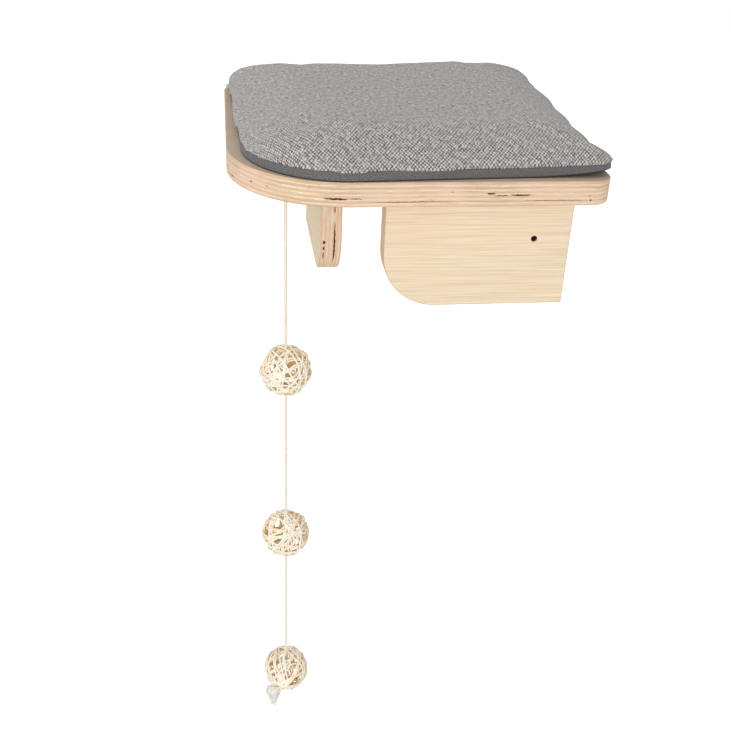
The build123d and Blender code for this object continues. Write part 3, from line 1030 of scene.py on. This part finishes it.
def fuller(spot):
    """How far the filled cover bellies out past the base's outline at a place on it."""
    left = bulge(spot.y, *left_bulge) * max(0.0, spot.x / cover_low.x) ** rim_fade
    ripple = ripple_height * math.cos(2 * math.pi * (spot.y - ripple_start) / ripple_length)
    right = (bulge(spot.y, *right_bulge) + ripple) * max(0.0, 1 - spot.x / cover_low.x) ** rim_fade
    front = bulge(spot.x, *front_bulge) * max(0.0, spot.y / cover_low.y) ** rim_fade
    return Vector((right - left, -front))


fullest = max(fuller(spot).x for spot in cushion_ring(0))
print("the cover bellies out to the right by up to", round(fullest / mm, 1), "mm")

# %% [markdown]
# On the real cushion the front right corner doesn't lie flat: it stands up a few millimetres and pokes
# out past the board's side. The same shift is given to the cover and to the base, so that their seam
# stays closed. It is full at the corner and fades out over a hand's width. There the cover is thinned,
# and the foot of the base's band rises more than its seam, so that the corner ends in a thin lip.

# %% Lifted corner
lift_height = 3.8 * mm
lift_out = 8.0 * mm
slip_share = 0.3
corner_thinning = 0.36
lift_reach_x = 85 * mm
lift_reach_y = 70 * mm
foot_rise = 4.8 * mm
lifted_corner = Vector((cover_high.x, cover_low.y + front_drawn))


def corner_share(spot):
    """How near a point of the cushion is to the lifted corner, from 0 to 1."""
    near_x = max(0.0, 1 - (lifted_corner.x - spot.x) / lift_reach_x)
    near_y = max(0.0, 1 - (spot.y - lifted_corner.y) / lift_reach_y)
    return (near_x * near_y) ** 2


def corner_lift(spot):
    """How far a point of the cushion moves for the lifted corner."""
    share = corner_share(spot)
    return Vector((lift_out * share**2, -slip_share * lift_out * share**2, lift_height * share))


print("the corner moves by", [round(part / mm, 1) for part in corner_lift(lifted_corner)], "mm")

# %% [markdown]
# The cover is a light cloth that is filled from inside. It could be one smooth dome, but a dome has no
# taut sides. So it starts as a low closed form, through rings on a quarter ellipse, and is blown up
# afterwards. It starts a little lower than its final height, to leave room for that.

# %% Starting form of the cover
hem = 0.8 * mm
hem_inset = 0.6 * mm
crown_reach = 50 * mm
crown_steps = 9
swell = 3.0 * mm
swell_share = 0.6
top_z = cover_high.z


def crown_levels():
    """Heights and insets of the cover's rings before it is blown up."""
    rise = top_z - seam_z - swell_share * swell
    levels = [(seam_z - hem, hem_inset)]
    for step in range(crown_steps + 1):
        turn = math.pi / 2 * step / crown_steps
        levels.append((seam_z + rise * math.sin(turn), crown_reach * (1 - math.cos(turn))))
    return levels


print("the cover starts from", len(crown_levels()), "rings")

# %% [markdown]
# The form is blown up a little as cloth with air pressure inside, while its seam is held by a group of
# weights, which gives it the taut, slightly uneven swell of a filled cushion. No point may move further
# than a cap, so a wild step of the simulation can't spoil the shape. The result is then made a plain
# mesh, because an export can't carry a simulation.

# %% Air pressure
seam_hold = 4 * mm
hold_gain = 1.6
pressure = 4.0
cloth_frames = 20
cloth_settings = {
    "quality": 6,
    "mass": 0.25,
    "tension_stiffness": 12,
    "compression_stiffness": 8,
    "shear_stiffness": 6,
    "bending_stiffness": 0.6,
    "use_pressure": True,
    "uniform_pressure_force": pressure,
    "vertex_group_mass": "seam",
}


def apply_modifiers(piece):
    """Replace a piece's mesh by what its modifiers make of it."""
    graph = bpy.context.evaluated_depsgraph_get()
    mesh = bpy.data.meshes.new_from_object(piece.evaluated_get(graph))
    old = piece.data
    piece.modifiers.clear()
    piece.data = mesh
    bpy.data.meshes.remove(old)


def blown_up(piece):
    """Blow a piece up as cloth, hold its seam and cap how far each point moves."""
    seam = piece.vertex_groups.new(name="seam")
    for vertex in piece.data.vertices:
        held = max(0.0, 1 - (vertex.co.z - seam_z) / seam_hold)
        if held > 0:
            seam.add([vertex.index], min(1.0, held * hold_gain), "REPLACE")
    rest = [vertex.co.copy() for vertex in piece.data.vertices]
    cloth = piece.modifiers.new("cloth", "CLOTH")
    for key, value in cloth_settings.items():
        setattr(cloth.settings, key, value)
    cloth.settings.effector_weights.gravity = 0.0
    cloth.collision_settings.use_collision = False
    cloth.point_cache.frame_start = 1
    cloth.point_cache.frame_end = cloth_frames
    for moment in range(1, cloth_frames + 1):
        bpy.context.scene.frame_set(moment)
    apply_modifiers(piece)
    bpy.context.scene.frame_set(1)
    for vertex, start in zip(piece.data.vertices, rest):
        move = vertex.co - start
        if move.length > swell:
            vertex.co = start + move * swell / move.length


# %% [markdown]
# A used cushion isn't even: one long shallow crease runs across its front, a short one lies at the left
# corner, the filling is full near the back right corner, and broad hollows and small lumps lie all
# over. All of them are changes of height at a place, and they fade out towards the seam.

# %% Creases and hollows
long_fold = ((-245, -235), (-147, -228), (-125, -213), (-68, -193), (-28, -221))
short_fold = ((-284, -239), (-268, -242))
long_crease = [Vector(spot) * mm for spot in long_fold]
short_crease = [Vector(spot) * mm for spot in short_fold]
creases = ((long_crease, 1.2 * mm, 6.0 * mm), (short_crease, 1.8 * mm, 3.5 * mm))
full_place = Vector((-70, -30)) * mm
full_reach = 75 * mm
full_height = 3.8 * mm
settle_from_seam = 12 * mm
hollows = {"scale": 14, "layer": 3.1, "height": 1.5}
lumps = {"scale": 42, "layer": 8.4, "height": 0.6}


def crease_at(spot, line, depth, width):
    """The depth of a crease along a broken line, felt at a place beside it."""
    felt = 0.0
    for start, end in zip(line, line[1:]):
        step = end - start
        share = min(1.0, max(0.0, (spot.xy - start).dot(step) / step.length_squared))
        away = (spot.xy - start - share * step).length
        felt = max(felt, depth * math.exp(-((away / width) ** 2)))
    return felt


def uneven_height(spot, scale, layer, height):
    """A smooth random height at a place, from one layer of the noise, up to this many millimetres."""
    return noise.noise(Vector((spot.x * scale, spot.y * scale, layer))) * height * mm


def settle(spot):
    """The hollows, folds and fullness of a used cushion, as a change of height at a place on it."""
    inside = min(1.0, max(0.0, (spot.z - seam_z) / settle_from_seam))
    broad = uneven_height(spot, **hollows)
    fine = uneven_height(spot, **lumps)
    full_corner = full_height * math.exp(-(((spot.xy - full_place).length / full_reach) ** 2))
    creased = sum(crease_at(spot, *crease) for crease in creases)
    return inside * (broad + fine + full_corner - creased)


print("the deepest crease is", max(depth for line, depth, width in creases) / mm, "mm deep")

# %% [markdown]
# Now the cover is made. Its starting form is remeshed to even squares, since cloth folds badly on long
# thin faces, then blown up and divided once more. Last come the small moves of every point: the thin
# corner, the bellied sides, the creases and hollows, and the lift of the corner.

# %% Cushion cover
voxel = 4.5 * mm
thinning_gain = 1.3


def cushion_cover():
    """The light cover, from its seam up."""
    stack = ring_stack(crown_levels())
    mesh = bpy.data.meshes.new("cushion_top")
    stack.to_mesh(mesh)
    stack.free()
    piece = bpy.data.objects.new("cushion_top", mesh)
    bpy.context.collection.objects.link(piece)
    remesh = piece.modifiers.new("remesh", "REMESH")
    remesh.mode = "VOXEL"
    remesh.voxel_size = voxel
    apply_modifiers(piece)
    blown_up(piece)
    subdivision = piece.modifiers.new("subdivision", "SUBSURF")
    subdivision.levels = subdivision.render_levels = 1
    apply_modifiers(piece)
    for vertex in piece.data.vertices:
        vertex.co.z = max(vertex.co.z, seam_z - hem)
        thin = min(1.0, corner_lift(vertex.co).z / lift_height * thinning_gain)
        vertex.co.z -= (vertex.co.z - seam_z) * corner_thinning * thin
        vertex.co.xy += fuller(vertex.co)
        vertex.co.z += settle(vertex.co)
        vertex.co += corner_lift(vertex.co)
    crown = max(vertex.co.z for vertex in piece.data.vertices)
    print("cushion cover has", len(piece.data.polygons), "faces and is", round(crown / mm, 1), "mm high")
    return piece


cover = cushion_cover()

# %% [markdown]
# The weave has to follow the cloth, also where it turns down at the cushion's sides. So each corner of
# each face gets its place on the flat cloth: its place seen from above, pushed outwards from the flat
# middle by the length that the cloth has spent on going down. That length grows slowly at first and
# then as fast as the drop itself, as it does on any round shoulder.

# %% Weave coordinates
core_low = cover_low.xy + Vector((crown_reach, crown_reach))
core_high = cover_high.xy - Vector((crown_reach, crown_reach))


def lay_weave(piece, name):
    """Store each point's place on the flat cloth, in metres, as a UV map."""
    flat = piece.data.uv_layers.new(name=name)
    for loop in piece.data.loops:
        spot = piece.data.vertices[loop.vertex_index].co
        drop = max(0.0, top_z - spot.z)
        inner_x = min(max(spot.x, core_low.x), core_high.x)
        inner_y = min(max(spot.y, core_low.y), core_high.y)
        inner = Vector((inner_x, inner_y))
        outward = (spot.xy - inner).normalized()
        flat.data[loop.index].uv = spot.xy + outward * drop**2 / (top_z - seam_z) / 2


lay_weave(cover, "weave")
print("the flat middle of the cloth is", round((core_high.x - core_low.x) / mm), "mm wide")

# %% [markdown]
# The cover's cloth is a coarse plain weave of light grey yarn. In a plain weave each yarn goes over one
# and under the next, so the pattern is a chequerboard of short raised stitches, standing and lying in
# turn, with a gap at every corner. The height of a stitch is a product of two sine waves, sharper
# across the yarn than along it, and the same height gives the relief and the colour: the gaps get
# painted shade and the tops of the stitches painted light. The cloth was cut askew and drawn longer
# from front to back, so its squares are rhombs. Uneven yarn mottles it, and where a cat lies the
# cloth is rubbed, so that its pattern is crisp along the front only.

# %% Woven cloth finish
weave_pitch = 2.08 * mm
weave_stretch = 1.5
weave_relief = 0.5 * mm
rubbed_from = -288 * mm
rubbed_all = -224 * mm
rubbed_share = 0.6
gap_grey = srgb(77, 71, 70)
cloth_grey = srgb(181, 176, 173)
yarn_grey = srgb(232, 225, 223)
waver_scale = 240.0
yarn_waver = (0.9, 0.9, 0.0)
worn_scale = 60.0
yarn_grain = (900.0, 900.0, 0.0)
slub_grain = (120.0, 420.0, 0.0)
mottle_grain = (340.0, 210.0, 0.0)
sharp_power = 1.1
soft_power = 0.6


def woven(name, pitch, stretch, gap_colour, middle_colour, top_colour, relief):
    """A plain weave with this distance between its yarns, stretched along Y."""
    material, tree, shader = new_finish(name, roughness=0.95, Sheen_Weight=0.25, Specular_IOR_Level=0.15)
    flat = node(tree, "UVMap", uv_map="weave")
    jitter = node(tree, "TexNoise", {"Vector": flat, "Scale": waver_scale, "Detail": 2.0}, output=1)
    waver = scaled(tree, vector_maths(tree, "SUBTRACT", jitter, (0.5, 0.5, 0.5)), yarn_waver)
    drawn = scaled(tree, flat, (1.0, 1 / stretch, 1.0))
    askew = node(tree, "VectorRotate", {"Vector": drawn, "Angle": math.pi / 4}, rotation_type="Z_AXIS")
    cell = vector_maths(tree, "ADD", scaled(tree, askew, (1 / pitch, 1 / pitch, 0.0)), waver)
    across, along = part_of(tree, cell, 0), part_of(tree, cell, 1)
    waves = []
    for direction in (across, along):
        wave = maths(tree, "SINE", maths(tree, "MULTIPLY", direction, math.pi))
        waves.append(maths(tree, "ABSOLUTE", wave))
    steps = maths(tree, "ADD", maths(tree, "FLOOR", across), maths(tree, "FLOOR", along))
    chequer = maths(tree, "ABSOLUTE", maths(tree, "MODULO", steps, 2.0))
    stitches = []
    for sharp, soft in (waves, waves[::-1]):
        steep = maths(tree, "POWER", sharp, sharp_power)
        stitches.append(maths(tree, "MULTIPLY", steep, maths(tree, "POWER", soft, soft_power)))
    height = node(tree, "Mix", {0: chequer, 2: stitches[0], 3: stitches[1]}, data_type="FLOAT")
    yarn = clouds(tree, scaled(tree, flat, yarn_grain), 1.0, 3.0, 0.7)
    uneven = clouds(tree, flat, worn_scale, 3.0)
    shade = maths(tree, "ADD", height, maths(tree, "MULTIPLY", maths(tree, "SUBTRACT", yarn, 0.5), 0.5))
    # Painted shade and light: the colour follows the stitch height, dark in the gaps and light on the tops.
    colour = ramp(tree, shade, [(0.18, gap_colour), (0.48, middle_colour), (0.92, top_colour)])
    slubs = clouds(tree, scaled(tree, askew, slub_grain), 1.0, 3.0, 0.7)
    colour = mix(tree, fade(tree, slubs, 0.50, 0.70, 0.0, 0.45), colour, top_colour)
    colour = mix(tree, fade(tree, slubs, 0.32, 0.50, 0.4, 0.0), colour, gap_colour)
    rubbed = fade(tree, part_of(tree, flat, 1), rubbed_from, rubbed_all, 0.0, rubbed_share)
    colour = mix(tree, rubbed, colour, middle_colour)
    mottle = clouds(tree, scaled(tree, flat, mottle_grain), 1.0, 3.0, 0.75)
    colour = mix(tree, fade(tree, mottle, 0.50, 0.66, 0.0, 0.62), colour, top_colour)
    colour = mix(tree, fade(tree, mottle, 0.34, 0.50, 0.52, 0.0), colour, gap_colour)
    worn = fade(tree, uneven, 0.35, 0.75, 0.0, 0.25)
    put(tree, shader.inputs["Base Color"], mix(tree, worn, colour, middle_colour))
    put(tree, shader.inputs["Normal"], bump(tree, shade, relief, 0.8))
    return material


weave_greys = (gap_grey, cloth_grey, yarn_grey)
cover_finish = woven("cover_weave", weave_pitch, weave_stretch, *weave_greys, weave_relief)
cover.data.materials.clear()
cover.data.materials.append(cover_finish)
for face in cover.data.polygons:
    face.use_smooth = True
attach(cover, "cushion")
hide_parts("cushion_cover", "cushion_filling")
print("the cover is woven with", round(weave_pitch / mm, 2), "mm between its yarns")

# %% [markdown]
# The base is a dark cloth tray: a flat bottom with a low band round it. The band stands nearly upright,
# a little wider at its foot, and is tucked just under the edge of the cover at the seam. It bellies out
# with the cover, but less. It is built from the same rings as the cover and needs no simulation, since
# the board holds it flat. Its cloth coordinates run along the band and up it, so that they follow the
# corners. The flat faces lie a metre off on the cloth, where nothing of the band's finish reaches them.

# %% Cushion base
band_steps = 6
tuck = 1.2 * mm
foot_inset = 0.8 * mm
base_belly = (0.5, 0.9)
flat_facing = 0.7
off_the_band = Vector((0, 1))
flat_insets = (80 * mm, 50 * mm, 30 * mm, 15 * mm, 6 * mm)


def cushion_base():
    """The dark base, from just above the board to the seam."""
    levels = [(base_low.z, inset) for inset in flat_insets]
    for step in range(band_steps + 1):
        share = step / band_steps
        inset = tuck + (foot_inset - tuck) * (1 - share) ** 3
        levels.append((base_low.z + (seam_z - base_low.z) * share, inset))
    levels += [(seam_z, inset) for inset in reversed(flat_insets)]
    stack = ring_stack(levels)
    along = stack.verts.layers.float["along"]
    around = stack.loops.layers.uv.new("weave")
    outline = cushion_ring(0)
    lengths = [0.0]
    for a, b in zip(outline, outline[1:]):
        lengths.append(lengths[-1] + (b - a).length)
    for face in stack.faces:
        face.normal_update()
        if abs(face.normal.z) > flat_facing:
            for loop in face.loops:
                loop[around].uv = loop.vert.co.xy + off_the_band
            continue
        places = [lengths[round(loop.vert[along])] for loop in face.loops]
        wraps = max(places) - min(places) > lengths[-1] / 2
        for loop, place in zip(face.loops, places):
            once_round = lengths[-1] if wraps and place < lengths[-1] / 2 else 0
            loop[around].uv = (place + once_round, loop.vert.co.z - base_low.z)
    for vert in stack.verts:
        belly = fuller(vert.co)
        vert.co.xy += Vector((belly.x * base_belly[0], belly.y * base_belly[1]))
        depth = (seam_z - vert.co.z) / (seam_z - base_low.z)
        rise = foot_rise * depth * corner_share(vert.co) ** 2
        vert.co += corner_lift(vert.co)
        vert.co.z += rise
    mesh = bpy.data.meshes.new("cushion_bottom")
    stack.to_mesh(mesh)
    stack.free()
    return mesh


# %% [markdown]
# The base's cloth is a dark grey twill. Twill has slanting ribs, so the finish is a wave that runs askew
# to the band, with fine yarn in it. The band's foot is painted darker, as a painted contact shadow where
# little light reaches it next to the board.

# %% Twill finish
rib_slant = 0.6
rib_pitch = 1.8 * mm
painted_foot_shade = (0.2 * mm, 1.5 * mm)
twill_depth = 0.25 * mm


def twill(name, pitch, light, dark):
    """Dark cloth with fine slanting ribs."""
    material, tree, shader = new_finish(name, roughness=0.92, Sheen_Weight=0.2, Specular_IOR_Level=0.15)
    flat = node(tree, "UVMap", uv_map="weave")
    climb = maths(tree, "MULTIPLY", part_of(tree, flat, 1), rib_slant)
    slant = maths(tree, "ADD", part_of(tree, flat, 0), climb)
    ribs = maths(tree, "ABSOLUTE", maths(tree, "SINE", maths(tree, "MULTIPLY", slant, math.pi / pitch)))
    yarn = fade(tree, clouds(tree, scaled(tree, flat, yarn_grain), 1.0, 3.0, 0.7), 0.36, 0.64)
    shade = maths(tree, "ADD", maths(tree, "MULTIPLY", ribs, 0.36), maths(tree, "MULTIPLY", yarn, 0.35))
    cloth = ramp(tree, shade, [(0.0, dark), (0.6, light)])
    # Painted shade: the lowest millimetre or so of the band is darkened, as a contact shadow on the board.
    foot = fade(tree, part_of(tree, flat, 1), *painted_foot_shade, 0.8, 0.0)
    put(tree, shader.inputs["Base Color"], mix(tree, foot, cloth, srgb(38, 30, 30)))
    put(tree, shader.inputs["Normal"], bump(tree, shade, twill_depth, 0.7))
    return material


base_finish = twill("base_twill", rib_pitch, srgb(128, 125, 127), srgb(56, 54, 57))
base = show("cushion_bottom", cushion_base(), base_finish, "cushion", smooth=False)
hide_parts("cushion_base")
print("cushion base has", len(base.data.polygons), "faces")

# %% [markdown]
# The studio is plain. A pale floor lies far below, because such a platform hangs high on a wall, and
# the room's soft light comes from everywhere, with large soft lamps in front, above and on the left.
# The camera sees the world and the floor as white. Everything else is lit at a level at which a colour
# looks as written.

# %% Floor
floor_drop = 0.45
floor_size = 6.0
floor_glow = 0.75

floor_mesh = bpy.data.meshes.new("floor")
floor_form = bmesh.new()
bmesh.ops.create_grid(floor_form, x_segments=1, y_segments=1, size=floor_size)
bmesh.ops.translate(floor_form, vec=(0, 0, frame_box[0][2] - floor_drop), verts=floor_form.verts)
floor_form.to_mesh(floor_mesh)
floor_form.free()
floor = bpy.data.objects.new("floor", floor_mesh)
bpy.context.collection.objects.link(floor)
floor_finish, floor_tree, floor_shader = new_finish("pale_floor", roughness=0.9)
floor_shader.inputs["Base Color"].default_value = srgb(240, 240, 240)
seen = node(floor_tree, "LightPath")
floor_shader.inputs["Emission Color"].default_value = (1, 1, 1, 1)
put(floor_tree, floor_shader.inputs["Emission Strength"], maths(floor_tree, "MULTIPLY", seen, floor_glow))
floor.data.materials.append(floor_finish)
print("the floor lies at", round(frame_box[0][2] - floor_drop, 2), "m")

# %% World
world_light = 0.545
world = bpy.data.worlds.new("world")
bpy.context.scene.world = world
world.use_nodes = True
world_tree = world.node_tree
background = world_tree.nodes["Background"]
background.inputs["Color"].default_value = (1, 1, 1, 1)
rays = world_tree.nodes.new("ShaderNodeLightPath").outputs
direct = maths(world_tree, "MAXIMUM", rays["Is Camera Ray"], rays["Is Glossy Ray"])
shown = maths(world_tree, "MAXIMUM", direct, rays["Is Transmission Ray"])
strength = fade(world_tree, shown, 0.0, 1.0, world_light, 1.0)
put(world_tree, background.inputs["Strength"], strength)
print("the world lights with a strength of", world_light)

# %% Lamps
lamp_size = 1.6
lamps = {
    "front_lamp": ((-0.45, -1.9, 0.10), (-0.2, -0.15, -0.2), 12.8),
    "upper_lamp": ((-1.15, -0.2, 1.3), (-0.2, -0.15, -0.1), 7.5),
    "side_lamp": ((-1.8, -0.7, -0.1), (-0.2, -0.15, -0.2), 2.5),
}


def lamp(name, place, target, size, power):
    """A square soft lamp that looks at a target."""
    light = bpy.data.objects.new(name, bpy.data.lights.new(name, "AREA"))
    light.data.shape = "SQUARE"
    light.data.size = size
    light.data.energy = power
    light.location = place
    light.rotation_euler = (Vector(target) - Vector(place)).to_track_quat("-Z", "Y").to_euler()
    bpy.context.collection.objects.link(light)
    print(name, power, "watts")


for name, (place, target, power) in lamps.items():
    lamp(name, place, target, lamp_size, power)
bpy.context.scene.view_settings.view_transform = "Standard"
